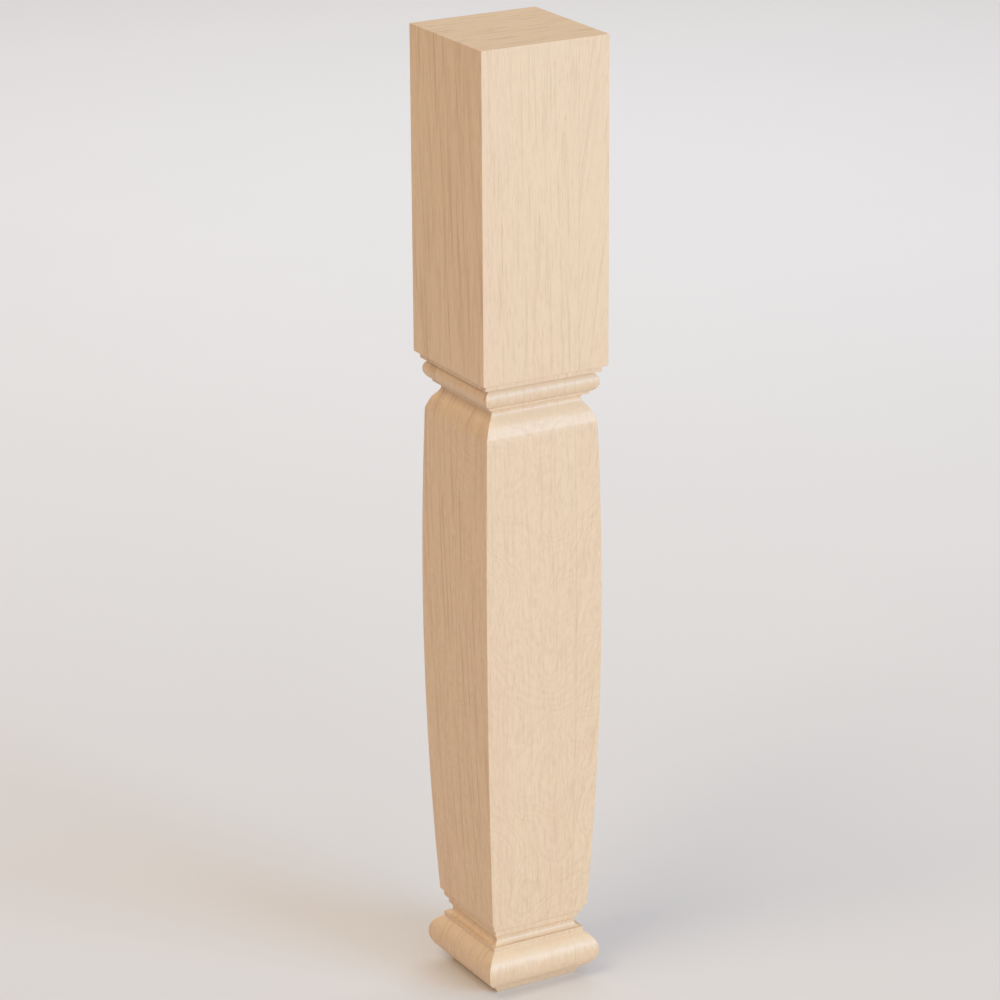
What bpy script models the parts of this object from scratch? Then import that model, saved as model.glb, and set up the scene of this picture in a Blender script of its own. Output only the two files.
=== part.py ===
"""Square column of pale maple: a plain block at the head, a small run of mouldings, a swelling
four-sided shaft and a moulded base on a low tapered foot. One solid, standing on its foot, in
metres, +Z up, with the origin at the middle of the foot and the front face towards -Y."""

import math

import bpy
import bmesh

# Overall size of the column
WIDTH = 0.127
HEIGHT = 0.89535

# Mouldings from the head down: heights along the column, insets from the face of the block
BLOCK_HEIGHT = 0.29845
BAND_HEIGHT = 0.0058
BAND_INSET = 0.0042
BEAD_HEIGHT = 0.0190
BEAD_SEAT_INSET = 0.0151
BEAD_RISE = 0.0081
LIP_HEIGHT = 0.0021
LIP_INSET = 0.0120
NECK_HEIGHT = 0.0092
NECK_DEPTH = 0.00255
LEDGE_HEIGHT = 0.0019
LEDGE_INSET = 0.0152
OVOLO_HEIGHT = 0.0110
OVOLO_INSET = 0.0086
OVOLO_RISE = 0.0013
SHOULDER_HEIGHT = 0.0036

# The shaft swells between its two ends
SHAFT_TOP_INSET = 0.0069
SHAFT_WIDEST_INSET = 0.0039
SHAFT_FOOT_INSET = 0.01345

# Base mouldings from the shaft down
COLLAR_HEIGHT = 0.0079
COLLAR_INSET = 0.0160
COLLAR_ROUND = 0.0026
FILLET_HEIGHT = 0.0055
FILLET_INSET = 0.0192
SCOTIA_HEIGHT = 0.0095
SCOTIA_DEPTH = 0.0045
STEP_HEIGHT = 0.0048
STEP_INSET = 0.0160
ROLL_HEIGHT = 0.0359
ROLL_UNDER_INSET = 0.0175
ROLL_RISE = 0.01175
FOOT_HEIGHT = 0.0079
FOOT_INSET = 0.0222

# Surface of the wood
MAPLE_COLOUR = (0.72, 0.54, 0.38, 1.0)
MAPLE_ROUGHNESS = 0.55


def arc(start, end, rise, steps):
    """Points after start, up to end, on the arc that stands out from the chord by rise."""
    (h0, z0), (h1, z1) = start, end
    chord = math.hypot(h1 - h0, z1 - z0)
    half_turn = 2.0 * math.atan2(2.0 * abs(rise), chord)
    radius = chord / (2.0 * math.sin(half_turn))
    side = math.copysign(1.0, rise)
    out_h, out_z = side * (z0 - z1) / chord, side * (h1 - h0) / chord
    mid_h, mid_z = (h0 + h1) / 2.0, (z0 + z1) / 2.0
    points = []
    for i in range(1, steps + 1):
        turn = half_turn * (2.0 * i / steps - 1.0)
        along = radius * math.sin(turn) / chord
        out = radius * (math.cos(turn) - math.cos(half_turn))
        points.append((mid_h + along * (h1 - h0) + out * out_h,
                       mid_z + along * (z1 - z0) + out * out_z))
    return points


def swell(top, foot, widest, steps):
    """Points after top, down to foot, on the long curve that is widest between them."""
    (h0, z0), (h1, z1) = top, foot
    above = math.sqrt(max(widest - h0, 0.0))
    below = math.sqrt(max(widest - h1, 0.0))
    length = z0 - z1
    points = []
    for i in range(1, steps + 1):
        t = i / steps
        fall = -above + (above + below) * t
        points.append((widest - fall * fall, z0 - length * t))
    return points


def head_outline():
    """Half-width and height of each point from the top of the block down to the shaft."""
    face = WIDTH / 2.0
    z_block = HEIGHT - BLOCK_HEIGHT
    z_band = z_block - BAND_HEIGHT
    z_bead = z_band - BEAD_HEIGHT
    z_lip = z_bead - LIP_HEIGHT
    z_neck = z_lip - NECK_HEIGHT
    z_ledge = z_neck - LEDGE_HEIGHT
    z_ovolo = z_ledge - OVOLO_HEIGHT
    z_shaft = z_ovolo - SHOULDER_HEIGHT
    band, lip, ledge = face - BAND_INSET, face - LIP_INSET, face - LEDGE_INSET

    points = [(face, HEIGHT), (face, z_block), (band, z_block), (band, z_band)]
    points.append((face - BEAD_SEAT_INSET, z_band))
    points += arc(points[-1], (lip, z_bead), BEAD_RISE, 16)
    points += [(lip, z_lip), (ledge, z_lip)]
    points += arc(points[-1], (ledge, z_neck), -NECK_DEPTH, 8)
    points.append((ledge, z_ledge))
    points += arc(points[-1], (face - OVOLO_INSET, z_ovolo), OVOLO_RISE, 8)
    points.append((face - SHAFT_TOP_INSET, z_shaft))
    return points


def base_outline():
    """Half-width and height of each point from the foot of the shaft down to the ground."""
    face = WIDTH / 2.0
    z_roll = FOOT_HEIGHT + ROLL_HEIGHT
    z_step = z_roll + STEP_HEIGHT
    z_scotia = z_step + SCOTIA_HEIGHT
    z_fillet = z_scotia + FILLET_HEIGHT
    z_collar = z_fillet + COLLAR_HEIGHT
    collar, fillet, step = face - COLLAR_INSET, face - FILLET_INSET, face - STEP_INSET

    points = [(face - SHAFT_FOOT_INSET, z_collar), (collar, z_collar)]
    points.append((collar, z_fillet + COLLAR_ROUND))
    bulge = COLLAR_ROUND * (1.0 - math.sqrt(0.5))
    points += arc(points[-1], (collar - COLLAR_ROUND, z_fillet), bulge, 5)
    points += [(fillet, z_fillet), (fillet, z_scotia)]
    points += arc(points[-1], (step, z_step), -SCOTIA_DEPTH, 12)
    points.append((step, z_roll))
    points += arc(points[-1], (face - ROLL_UNDER_INSET, FOOT_HEIGHT), ROLL_RISE, 20)
    points.append((face - FOOT_INSET, 0.0))
    return points


def outline():
    """The whole outline from the top of the block to the ground."""
    head, base = head_outline(), base_outline()
    shaft = swell(head[-1], base[0], WIDTH / 2.0 - SHAFT_WIDEST_INSET, 28)
    return head + shaft[:-1] + base


def maple():
    """Sanded, unfinished pale maple."""
    material = bpy.data.materials.new("maple")
    material.use_nodes = True
    shader = material.node_tree.nodes["Principled BSDF"]
    shader.inputs["Base Color"].default_value = MAPLE_COLOUR
    shader.inputs["Roughness"].default_value = MAPLE_ROUGHNESS
    shader.inputs["Metallic"].default_value = 0.0
    return material


def make_column():
    """The outline drawn on a corner and turned four times about the axis, closed at its ends."""
    bm = bmesh.new()
    corner = [bm.verts.new((h, h, z)) for h, z in outline()]
    edges = [bm.edges.new(pair) for pair in zip(corner, corner[1:])]
    bmesh.ops.spin(bm, geom=corner + edges, cent=(0.0, 0.0, 0.0), axis=(0.0, 0.0, 1.0),
                   angle=math.tau, steps=4, use_merge=True, use_duplicate=False)
    bmesh.ops.holes_fill(bm, edges=[e for e in bm.edges if e.is_boundary], sides=4)
    bmesh.ops.recalc_face_normals(bm, faces=bm.faces[:])
    mesh = bpy.data.meshes.new("column")
    bm.to_mesh(mesh)
    bm.free()
    mesh.materials.append(maple())
    column = bpy.data.objects.new("column", mesh)
    bpy.context.scene.collection.objects.link(column)
    return column


def main():
    for thing in list(bpy.data.objects):
        bpy.data.objects.remove(thing, do_unlink=True)
    make_column()


main()
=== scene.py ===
"""Looks of the square column: its form with eased edges and smooth mouldings, in solid pale maple
glued up from staves, on a plain pale floor in soft studio light. Metres, +Z up, front towards -Y."""

import math
from collections import namedtuple

import bmesh
import bpy
from mathutils import Matrix, Vector


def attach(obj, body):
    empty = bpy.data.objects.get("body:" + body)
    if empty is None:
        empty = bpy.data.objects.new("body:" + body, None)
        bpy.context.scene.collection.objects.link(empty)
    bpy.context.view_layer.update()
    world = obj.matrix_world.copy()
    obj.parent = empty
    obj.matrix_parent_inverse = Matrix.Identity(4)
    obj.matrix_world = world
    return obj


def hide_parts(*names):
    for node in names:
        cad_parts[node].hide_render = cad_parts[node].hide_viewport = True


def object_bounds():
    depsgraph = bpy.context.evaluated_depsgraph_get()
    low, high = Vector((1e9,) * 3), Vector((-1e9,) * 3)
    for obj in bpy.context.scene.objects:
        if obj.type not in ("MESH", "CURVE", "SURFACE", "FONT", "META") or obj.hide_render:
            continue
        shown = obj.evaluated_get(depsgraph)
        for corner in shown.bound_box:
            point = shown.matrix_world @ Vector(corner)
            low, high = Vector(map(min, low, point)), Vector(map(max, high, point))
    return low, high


# Form: how edges are softened and how finely the curves are drawn
SAME_POINT = 1e-6
ARRIS_RADIUS = 0.0005
EASE = 0.00028
EASE_STEPS = 4
MOST_TRIM = 0.3
SUPPORT = 0.0005
SHARP_TURN = math.radians(20.0)
CURVE_GAP = 0.0007
SHAFT_GAP = 0.006
LONG_SPAN = 0.010
CORNER_STEPS = 4
SIDE_STEPS = 8

# Ogee from the neck to the shaft: drop below the lip, inset from the face of the block
LIP_DROP = 0.32535
OGEE = ((0.0046, 0.01775), (0.0061, 0.01750), (0.0075, 0.01680), (0.0092, 0.01555),
        (0.0110, 0.01410), (0.0127, 0.01275), (0.0143, 0.01160), (0.0160, 0.01060),
        (0.0185, 0.00950), (0.0210, 0.00855), (0.0235, 0.00765), (0.0257, 0.00690))
OGEE_CLEAR = 0.0003

# Camera at the photo's viewing angle
CAMERA_PLACE = (-1.6970, -2.9628, 1.6726)
CAMERA_YAW = math.radians(29.634)
CAMERA_PITCH = math.radians(19.506)
CAMERA_ROLL = math.radians(0.337)
CAMERA_LENS = 144.91
CAMERA_SENSOR = 36.0
CAMERA_CLIP = (0.1, 100.0)

# Soft boxes: angles in degrees, where azimuth 0 stands in front and 90 to the right; power in watts
SoftBox = namedtuple("SoftBox", "azimuth elevation distance width height power colour")
KEY = SoftBox(29.6, 15.0, 14.0, 7.5, 6.4, 1235.0, (0.374, 0.684, 1.0))
FRONT = SoftBox(5.0, 12.0, 10.0, 7.0, 3.8, 252.0, (1.0, 0.930, 0.900))
LEFT = SoftBox(-77.0, 54.0, 8.0, 4.4, 4.4, 182.0, (1.0, 0.885, 0.655))
BACK = SoftBox(150.4, 86.0, 2.6, 4.4, 3.6, 53.0, (0.840, 0.920, 1.0))
BEHIND = 2.9
ROOM_COLOUR = (1.0, 0.816, 0.716, 1.0)
ROOM_STRENGTH = 0.432

# Floor
FLOOR_SIZE = 20.0
FLOOR_GREYS = ((0.79, 0.79, 0.79, 1.0), (0.81, 0.81, 0.81, 1.0))
FLOOR_MOTTLE = 3.0
FLOOR_ROUGHNESS = 0.9
FLOOR_SPECULAR = 0.2

# Wood colours, linear
CREAM = (0.825, 0.603, 0.389, 1.0)
TAN = (0.747, 0.522, 0.313, 1.0)
BLUSH_TINT = (0.822, 0.560, 0.370, 1.0)
RING_TINT = (0.606, 0.386, 0.227, 1.0)
FLECK_TINT = (0.550, 0.285, 0.150, 1.0)
# Painted light: paler tint laid on upward-facing slopes, standing in for light from above
PAINTED_LIGHT_TINT = (0.885, 0.687, 0.468, 1.0)
GLUE_TINT = (0.503, 0.308, 0.177, 1.0)
END_TINT = (0.748, 0.560, 0.353, 1.0)

# Staves: where the glue lines run, and how each stave's grain stands apart from the others'
LAYER_JOINT = -0.0035
FRONT_JOINT = 0.0330
BACK_JOINT = -0.0120
GLUE_EDGES = (0.0001, 0.0005)
GLUE_SHARE = 0.30
STAVE_SHIFT = 0.37
STAVE_SLOPE = -0.012
STRIP_SLOPE = 0.16
STAVE_TAN = 0.20
TAN_SEED = 2.0
PITH_SEED = 7.31

# Grain: the noise's own scale along x, y and z, its detail and roughness; where its marks start and
# are full; their share on the head block, and what the shaft adds to that
Grain = namedtuple("Grain", "scale detail rough low high share shaft_adds",
                   defaults=(0.0, 1.0, 0.0, 0.0))
FIBRE = Grain((1100.0, 600.0, 48.0), 3.0, 0.60, 0.45, 0.80, 0.40)
STREAK = Grain((420.0, 230.0, 14.0), 3.0, 0.55, 0.48, 0.72, 0.36, -0.12)
PLATE = Grain((20.0, 240.0, 8.0), 3.5, 0.62, 0.50, 0.70, 0.74, -0.10)
FLECK = Grain((1200.0, 620.0, 90.0), 1.5, 0.50, 0.57, 0.71, 0.23, -0.03)
BROAD = Grain((16.0, 16.0, 3.0), 3.0, 0.55, 0.30, 0.72, 0.12)
BLUSH = Grain((28.0, 28.0, 3.0), 2.0, 0.50, 0.38, 0.66, 0.30)
CURL = Grain((280.0, 150.0, 160.0), 2.0, 0.50, 0.42, 0.72, 0.03, 0.11)
HEAD_FOOT = 0.60
HEAD_BLEND = 0.03

# Growth rings: the tree's middle, far in front of the column, and how the rings wander
PITH = (0.008, -0.30)
PITH_SPREAD = 0.02
LEAN = 0.07
DEPTH_SHARE = 0.17
RING_GAP = 0.0013
SWING = Grain((15.0, 15.0, 13.0), 1.0, 0.40)
SWING_REACH = (0.008, 0.022)
RIPPLE = Grain((90.0, 90.0, 55.0), 2.0, 0.50)
RIPPLE_REACH = 0.0022
RING_RISE = (0.30, 0.78)
RING_FALL = (0.82, 1.0)
FAINTEST_RING = 0.25
RING_SHARE = 0.02
RING_SHAFT_ADDS = 0.18

# How the wood changes with the way a surface faces, including painted light on upward slopes
# Painted light: where upward-facing slopes start and are full, and how much paler they are painted
PAINTED_LIGHT_EDGES = (0.22, 0.78)
PAINTED_LIGHT_SHARE = 0.70
END_EDGES = (0.94, 0.99)
END_SHARE = 0.85
FRONT_EDGES = (0.25, 0.65)
RIGHT_EDGES = (0.0, 0.3)
RIGHT_CALM = 0.55

# Finish of the wood
ROUGHNESS = 0.40
FIBRE_ROUGHNESS = 0.08
END_ROUGHNESS = 0.15
WOOD_IOR = 1.60
FIBRE_RELIEF = 0.5
FLECK_RELIEF = -0.7
RING_RELIEF = -0.25
BUMP_STRENGTH = 0.25
BUMP_DEPTH = 0.00006


def corner_outline(node):
    """Half-width and height of the CAD column's points down its back right corner."""
    bm = bmesh.new()
    bm.from_mesh(node.data)
    bmesh.ops.remove_doubles(bm, verts=bm.verts[:], dist=SAME_POINT)
    on_corner = {v for v in bm.verts if v.co.x > 0 and abs(v.co.x - v.co.y) < SAME_POINT}
    here = max(on_corner, key=lambda v: v.co.z)
    chain, seen = [], set()
    while here is not None:
        chain.append((here.co.x, here.co.z))
        seen.add(here)
        ahead = [e.other_vert(here) for e in here.link_edges]
        ahead = [v for v in ahead if v in on_corner and v not in seen]
        here = ahead[0] if ahead else None
    bm.free()
    return [Vector(p) for p in chain]


def with_ogee(points):
    """The outline with the neck flowing in one ogee into the shoulder, down to the shaft's top."""
    face, lip = points[0].x, points[0].y - LIP_DROP
    ogee = [Vector((face - inset, lip - drop)) for drop, inset in OGEE]
    above = [p for p in points if p.y > ogee[0].y + OGEE_CLEAR]
    below = [p for p in points if p.y < ogee[-1].y - OGEE_CLEAR]
    return above + ogee + below


def turn_at(points, i):
    """How far the outline turns at point i."""
    return (points[i] - points[i - 1]).angle(points[i + 1] - points[i])


def runs(points):
    """The outline cut at its sharp corners."""
    cuts = [i for i in range(1, len(points) - 1) if turn_at(points, i) > SHARP_TURN]
    ends = [0] + cuts + [len(points) - 1]
    return [points[a:b + 1] for a, b in zip(ends, ends[1:])]


def smooth_run(points):
    """The same run with more points, on a smooth curve through the ones it has."""
    if len(points) < 3:
        return points
    full = [2 * points[0] - points[1]] + points + [2 * points[-1] - points[-2]]
    out = [points[0]]
    for p0, p1, p2, p3 in zip(full, full[1:], full[2:], full[3:]):
        length = (p2 - p1).length
        leave = (p2 - p0) * length / ((p1 - p0).length + length)
        reach = (p3 - p1) * length / (length + (p3 - p2).length)
        steps = max(1, round(length / (SHAFT_GAP if length > LONG_SPAN else CURVE_GAP)))
        for i in range(1, steps + 1):
            t = i / steps
            bend = t * t * (3 - 2 * t)
            out.append(p1.lerp(p2, bend) + leave * t * (1 - t) ** 2 - reach * t * t * (1 - t))
    return out


def trim(points, length):
    """Cuts that length off the start of a run, and leaves a point close to the cut."""
    total = sum((b - a).length for a, b in zip(points, points[1:]))
    left, rest = min(length, MOST_TRIM * total), list(points)
    while (rest[1] - rest[0]).length <= left:
        left -= (rest[1] - rest[0]).length
        rest.pop(0)
    rest[0] = rest[0].lerp(rest[1], left / (rest[1] - rest[0]).length)
    step = rest[1] - rest[0]
    if step.length > 3 * SUPPORT:
        rest.insert(1, rest[0] + step.normalized() * SUPPORT)
    return rest


def eased_outline(points):
    """The outline from axis to axis, with smooth curves and every sharp corner softened a little."""
    pieces = [[Vector((0.0, points[0].y)), points[0]]]
    pieces += [smooth_run(run) for run in runs(points)]
    pieces.append([points[-1], Vector((0.0, points[-1].y))])
    corners = [piece[0] for piece in pieces[1:]]
    pieces = [pieces[0]] + [trim(piece, EASE) for piece in pieces[1:]]
    pieces = [trim(piece[::-1], EASE)[::-1] for piece in pieces[:-1]] + [pieces[-1]]
    out = list(pieces[0])
    for corner, piece in zip(corners, pieces[1:]):
        a, b = out[-1], piece[0]
        for i in range(1, EASE_STEPS):
            t = i / EASE_STEPS
            out.append(a * (1 - t) ** 2 + 2 * corner * t * (1 - t) + b * t * t)
        out += piece
    return out


def ring(half, height):
    """Points round the column at one height: a square whose corners are slightly rounded."""
    flat = half - ARRIS_RADIUS
    inner = flat - SUPPORT
    steps = [-flat] + [inner * (2 * i / SIDE_STEPS - 1) for i in range(SIDE_STEPS + 1)] + [flat]
    points = []
    for side in range(4):
        turn = Matrix.Rotation(side * math.pi / 2, 2)
        row = [Vector((s, -half)) for s in steps]
        for i in range(1, CORNER_STEPS):
            a = math.pi / 2 * i / CORNER_STEPS
            row.append(Vector((flat + ARRIS_RADIUS * math.sin(a), -flat - ARRIS_RADIUS * math.cos(a))))
        points += [(turn @ p).to_3d() + Vector((0, 0, height)) for p in row]
    return points


def make_form(node):
    """The column's visible mesh: a ring at each point of the outline, closed at both ends."""
    outline = eased_outline(with_ogee(corner_outline(node)))
    bm = bmesh.new()
    rings = [[bm.verts.new(co) for co in ring(p.x, p.y)] for p in outline if p.x > 0.0]
    count = len(rings[0])
    for upper, lower in zip(rings, rings[1:]):
        for i in range(count):
            j = (i + 1) % count
            bm.faces.new((upper[i], lower[i], lower[j], upper[j]))
    bm.faces.new(rings[0])
    bm.faces.new(rings[-1][::-1])
    bmesh.ops.recalc_face_normals(bm, faces=bm.faces[:])
    mesh = bpy.data.meshes.new("maple_column")
    bm.to_mesh(mesh)
    bm.free()
    mesh.shade_smooth()
    form = bpy.data.objects.new("maple_column", mesh)
    bpy.context.scene.collection.objects.link(form)
    return form


class Graph:
    """Short calls for making a material's nodes."""

    def __init__(self, name):
        self.material = bpy.data.materials.new(name)
        self.material.use_nodes = True
        self.tree = self.material.node_tree
        self.shader = self.tree.nodes["Principled BSDF"]

    def put(self, socket, value):
        """Links a socket to another, or sets its value."""
        if isinstance(value, bpy.types.NodeSocket):
            self.tree.links.new(value, socket)
        elif value is not None:
            socket.default_value = value

    def math(self, operation, a, b=None, c=None):
        node = self.tree.nodes.new("ShaderNodeMath")
        node.operation = operation
        for socket, value in zip(node.inputs, (a, b, c)):
            self.put(socket, value)
        return node.outputs[0]

    def vector(self, operation, a, b=None, scale=None):
        node = self.tree.nodes.new("ShaderNodeVectorMath")
        node.operation = operation
        self.put(node.inputs[0], a)
        self.put(node.inputs[1], b)
        self.put(node.inputs[3], scale)
        return node.outputs[1 if operation == "LENGTH" else 0]

    def noise(self, place, scale, detail, rough=0.5):
        node = self.tree.nodes.new("ShaderNodeTexNoise")
        self.put(node.inputs["Vector"], place)
        self.put(node.inputs["Scale"], scale)
        self.put(node.inputs["Detail"], detail)
        self.put(node.inputs["Roughness"], rough)
        return node.outputs["Fac"]

    def grain(self, place, kind):
        """The noise of one kind of grain, with its own scale along each axis."""
        return self.noise(self.vector("MULTIPLY", place, kind.scale), 1.0, kind.detail, kind.rough)

    def steps(self, value, low, high):
        """0 below low, 1 above high, smooth between."""
        node = self.tree.nodes.new("ShaderNodeMapRange")
        node.interpolation_type = "SMOOTHSTEP"
        for socket, v in zip(node.inputs, (value, low, high, 0.0, 1.0)):
            self.put(socket, v)
        return node.outputs[0]

    def inverse(self, value):
        return self.math("SUBTRACT", 1.0, value)

    def mix(self, share, a, b):
        node = self.tree.nodes.new("ShaderNodeMix")
        node.data_type = "RGBA"
        for socket, value in ((node.inputs[0], share), (node.inputs[6], a), (node.inputs[7], b)):
            self.put(socket, value)
        return node.outputs[2]

    def split(self, value):
        node = self.tree.nodes.new("ShaderNodeSeparateXYZ")
        self.put(node.inputs[0], value)
        return node.outputs

    def join(self, x, y, z):
        node = self.tree.nodes.new("ShaderNodeCombineXYZ")
        for socket, value in zip(node.inputs, (x, y, z)):
            self.put(socket, value)
        return node.outputs[0]

    def random(self, value):
        """Three random numbers that go with a value."""
        node = self.tree.nodes.new("ShaderNodeTexWhiteNoise")
        node.noise_dimensions = "1D"
        self.put(node.inputs["W"], value)
        return self.split(node.outputs["Color"])


def staves(g, x, y):
    """Which of the four staves of the glued-up blank a point is in, and how near a glue line."""
    layer = g.math("GREATER_THAN", y, LAYER_JOINT)
    joint = g.math("MULTIPLY_ADD", layer, BACK_JOINT - FRONT_JOINT, FRONT_JOINT)
    side = g.math("GREATER_THAN", x, joint)
    index = g.math("MULTIPLY_ADD", layer, 2.0, side)
    gap_x = g.math("ABSOLUTE", g.math("SUBTRACT", x, joint))
    gap_y = g.math("ABSOLUTE", g.math("SUBTRACT", y, LAYER_JOINT))
    glue = g.inverse(g.steps(g.math("MINIMUM", gap_x, gap_y), *GLUE_EDGES))
    return index, glue


def growth_rings(g, place, index, figure):
    """Thin growth rings, lying nearly level with the front face and seen edge on from the sides."""
    chance = g.random(g.math("ADD", index, PITH_SEED))
    x, y, z = g.split(place)
    pith_x = g.math("MULTIPLY_ADD", g.math("SUBTRACT", chance[0], 0.5), PITH_SPREAD, PITH[0])
    pith_y = g.math("MULTIPLY_ADD", z, LEAN, PITH[1])
    depth = g.math("MULTIPLY_ADD", y, DEPTH_SHARE, g.math("MULTIPLY", pith_y, -1.0))
    away = g.join(g.math("SUBTRACT", x, pith_x), depth, 0.0)
    reach = g.math("MULTIPLY_ADD", figure, SWING_REACH[1], SWING_REACH[0])
    swing = g.math("MULTIPLY", g.math("SUBTRACT", g.grain(place, SWING), 0.5), reach)
    swing = g.math("MULTIPLY_ADD", g.grain(place, RIPPLE), RIPPLE_REACH, swing)
    turns = g.math("DIVIDE", g.math("ADD", g.vector("LENGTH", away), swing), RING_GAP)
    part = g.math("FRACT", turns)
    line = g.math("MULTIPLY", g.steps(part, *RING_RISE), g.inverse(g.steps(part, *RING_FALL)))
    luck = g.random(g.math("FLOOR", turns))[0]
    return g.math("MULTIPLY", line, g.math("MULTIPLY_ADD", luck, 1.0 - FAINTEST_RING, FAINTEST_RING))


def maple(name):
    """Sanded, unfinished maple: cream to tan with faint rings, short flecks and fine upright fibre,
    streaks on the sides where the rings are cut edge on, darker end grain, and painted light that
    makes upward slopes paler."""
    g = Graph(name)
    place = g.tree.nodes.new("ShaderNodeTexCoord").outputs["Object"]
    x, y, z = g.split(place)
    index, glue = staves(g, x, y)
    figure = g.inverse(g.steps(z, HEAD_FOOT - HEAD_BLEND, HEAD_FOOT + HEAD_BLEND))
    rings = growth_rings(g, place, index, figure)

    # Each stave has its own part of the noise, and the grain of the front right strip leans more
    strip = g.math("COMPARE", index, 1.0, 0.5)
    slope = g.math("MULTIPLY_ADD", strip, STRIP_SLOPE, STAVE_SLOPE)
    lean = g.join(g.math("MULTIPLY", z, g.math("MULTIPLY", slope, -1.0)), 0.0, 0.0)
    shift = g.vector("SCALE", g.join(index, index, index), scale=STAVE_SHIFT)
    own = g.vector("ADD", g.vector("ADD", place, lean), shift)
    level = g.vector("ADD", g.join(x, g.math("MULTIPLY_ADD", z, -LEAN, y), z), shift)

    normal = g.split(g.tree.nodes.new("ShaderNodeNewGeometry").outputs["Normal"])
    # Painted light mask: how far a surface faces upwards
    painted_light_up = g.steps(normal[2], *PAINTED_LIGHT_EDGES)
    end = g.steps(g.math("ABSOLUTE", normal[2]), *END_EDGES)
    off_front = g.inverse(g.steps(g.math("ABSOLUTE", normal[1]), *FRONT_EDGES))
    calmer = g.math("MULTIPLY_ADD", g.steps(normal[0], *RIGHT_EDGES), -RIGHT_CALM, 1.0)

    def marks(noise, kind):
        return g.steps(noise, kind.low, kind.high)

    def share(kind):
        return g.math("MULTIPLY_ADD", figure, kind.shaft_adds, kind.share)

    def tinted(colour, amount, how_much, tint):
        return g.mix(g.math("MULTIPLY", amount, how_much), colour, tint)

    fibre = g.grain(own, FIBRE)
    fleck = marks(g.grain(own, FLECK), FLECK)
    stave_tan = g.math("MULTIPLY", g.random(g.math("ADD", index, TAN_SEED))[1], STAVE_TAN)
    warm = g.math("MULTIPLY_ADD", marks(g.grain(own, BROAD), BROAD), BROAD.share, stave_tan)
    ring_share = g.math("MULTIPLY_ADD", figure, RING_SHAFT_ADDS, RING_SHARE)
    plate_share = g.math("MULTIPLY", g.math("MULTIPLY", share(PLATE), off_front), calmer)

    colour = g.mix(warm, CREAM, TAN)
    colour = tinted(colour, marks(g.grain(own, BLUSH), BLUSH), BLUSH.share, BLUSH_TINT)
    colour = tinted(colour, rings, ring_share, RING_TINT)
    colour = tinted(colour, marks(fibre, FIBRE), FIBRE.share, RING_TINT)
    colour = tinted(colour, marks(g.grain(own, STREAK), STREAK), share(STREAK), RING_TINT)
    colour = tinted(colour, fleck, share(FLECK), FLECK_TINT)
    colour = tinted(colour, marks(g.grain(own, CURL), CURL), share(CURL), RING_TINT)
    colour = tinted(colour, glue, GLUE_SHARE, GLUE_TINT)
    # Painted light: upward slopes painted paler, as if lit from above
    colour = tinted(colour, painted_light_up, PAINTED_LIGHT_SHARE, PAINTED_LIGHT_TINT)
    colour = tinted(colour, end, END_SHARE, END_TINT)
    colour = tinted(colour, marks(g.grain(level, PLATE), PLATE), plate_share, RING_TINT)
    g.put(g.shader.inputs["Base Color"], colour)

    rough = g.math("MULTIPLY_ADD", fibre, FIBRE_ROUGHNESS, ROUGHNESS)
    rough = g.math("MULTIPLY_ADD", end, END_ROUGHNESS, rough)
    g.put(g.shader.inputs["Roughness"], rough)
    g.shader.inputs["IOR"].default_value = WOOD_IOR

    relief = g.math("MULTIPLY_ADD", fibre, FIBRE_RELIEF, g.math("MULTIPLY", fleck, FLECK_RELIEF))
    relief = g.math("MULTIPLY_ADD", rings, RING_RELIEF, relief)
    bump = g.tree.nodes.new("ShaderNodeBump")
    bump.inputs["Strength"].default_value = BUMP_STRENGTH
    bump.inputs["Distance"].default_value = BUMP_DEPTH
    g.put(bump.inputs["Height"], relief)
    g.put(g.shader.inputs["Normal"], bump.outputs["Normal"])
    return g.material


def floor_material():
    """Plain pale floor with the faintest mottle."""
    g = Graph("pale_floor")
    place = g.tree.nodes.new("ShaderNodeTexCoord").outputs["Object"]
    mottle = g.noise(place, FLOOR_MOTTLE, 2.0)
    g.put(g.shader.inputs["Base Color"], g.mix(mottle, *FLOOR_GREYS))
    g.shader.inputs["Roughness"].default_value = FLOOR_ROUGHNESS
    g.shader.inputs["Specular IOR Level"].default_value = FLOOR_SPECULAR
    return g.material


def make_floor(height):
    """A wide level floor under the foot."""
    bm = bmesh.new()
    bmesh.ops.create_grid(bm, x_segments=2, y_segments=2, size=FLOOR_SIZE)
    mesh = bpy.data.meshes.new("floor")
    bm.to_mesh(mesh)
    bm.free()
    mesh.materials.append(floor_material())
    floor = bpy.data.objects.new("floor", mesh)
    floor.location.z = height
    bpy.context.scene.collection.objects.link(floor)
    return floor


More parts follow.
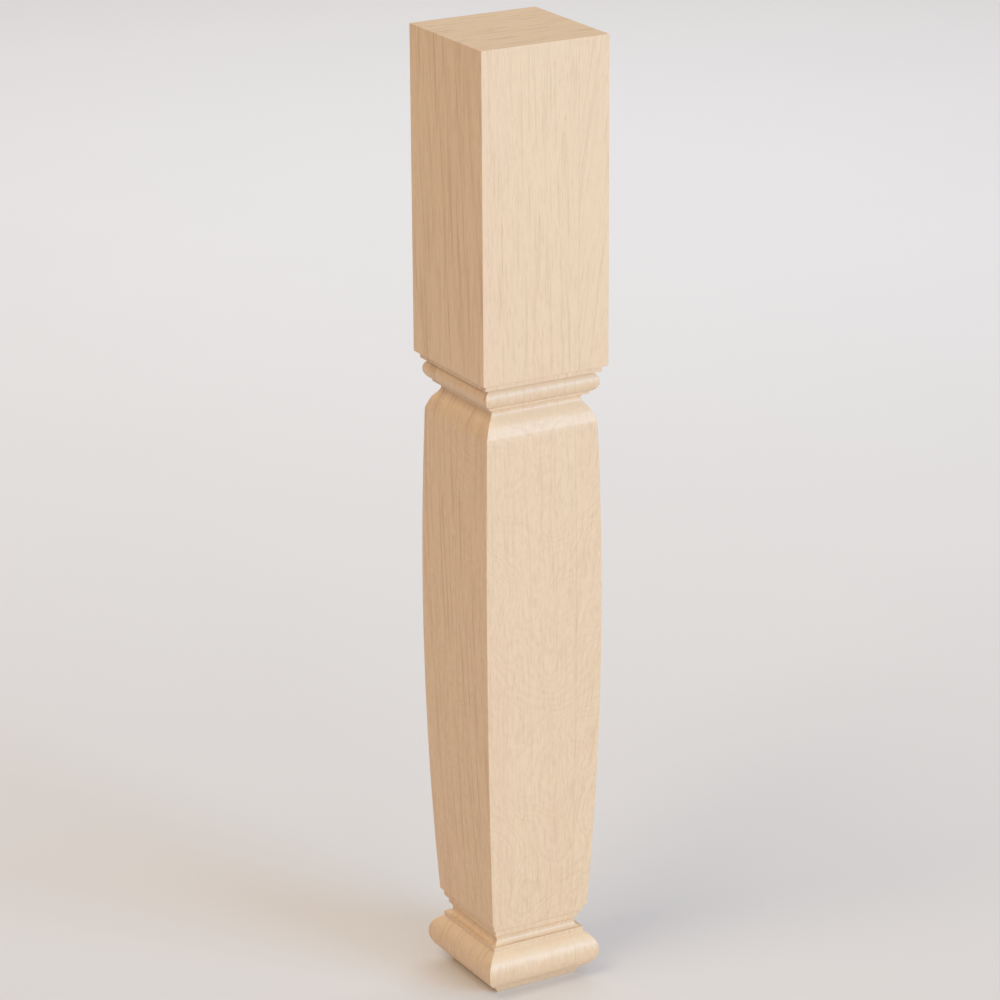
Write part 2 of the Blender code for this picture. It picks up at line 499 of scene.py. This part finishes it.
def soft_light(name, box, target):
    """One soft box, aimed at the target from its own distance."""
    lamp = bpy.data.lights.new(name, "AREA")
    lamp.shape, lamp.size, lamp.size_y = "RECTANGLE", box.width, box.height
    lamp.energy, lamp.color = box.power, box.colour
    light = bpy.data.objects.new(name, lamp)
    a, e = math.radians(box.azimuth), math.radians(box.elevation)
    back = Vector((math.sin(a) * math.cos(e), -math.cos(a) * math.cos(e), math.sin(e)))
    light.location = Vector(target) + back * box.distance
    light.rotation_euler = (-back).to_track_quat("-Z", "Y").to_euler()
    bpy.context.scene.collection.objects.link(light)


def light_the_scene(middle):
    """A cool soft box to the front right, a weaker one in front, a warm box high on the left, one
    over the floor behind and a pale warm room."""
    behind = Vector((math.sin(CAMERA_YAW), math.cos(CAMERA_YAW), 0.0)) * BEHIND
    soft_light("key", KEY, middle)
    soft_light("front", FRONT, middle)
    soft_light("left", LEFT, middle)
    soft_light("back", BACK, behind)
    world = bpy.data.worlds.new("room")
    world.use_nodes = True
    sky = world.node_tree.nodes["Background"]
    sky.inputs["Color"].default_value = ROOM_COLOUR
    sky.inputs["Strength"].default_value = ROOM_STRENGTH
    bpy.context.scene.world = world


def make_camera():
    """The camera that took the photo, solved from the column's own edges."""
    lens = bpy.data.cameras.new("camera")
    lens.lens, lens.sensor_width = CAMERA_LENS, CAMERA_SENSOR
    lens.clip_start, lens.clip_end = CAMERA_CLIP
    camera = bpy.data.objects.new("camera", lens)
    aim = Matrix.Rotation(-CAMERA_YAW, 4, "Z") @ Matrix.Rotation(math.pi / 2 - CAMERA_PITCH, 4, "X")
    roll = Matrix.Rotation(-CAMERA_ROLL, 4, "Z")
    camera.matrix_world = Matrix.Translation(CAMERA_PLACE) @ aim @ roll
    bpy.context.scene.collection.objects.link(camera)
    bpy.context.scene.camera = camera


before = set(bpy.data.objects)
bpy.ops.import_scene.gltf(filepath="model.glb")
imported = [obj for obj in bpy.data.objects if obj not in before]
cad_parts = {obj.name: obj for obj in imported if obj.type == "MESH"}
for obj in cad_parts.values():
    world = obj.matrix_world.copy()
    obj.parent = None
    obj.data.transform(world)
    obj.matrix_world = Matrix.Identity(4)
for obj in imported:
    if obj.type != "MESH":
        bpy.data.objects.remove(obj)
cad_low, cad_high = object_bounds()

column = make_form(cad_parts["column"])
column.data.materials.append(maple("maple"))
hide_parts("column")
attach(column, "root")

floor = make_floor(cad_low.z)
light_the_scene((cad_low + cad_high) / 2)
make_camera()
bpy.context.scene.view_settings.view_transform = "Standard"
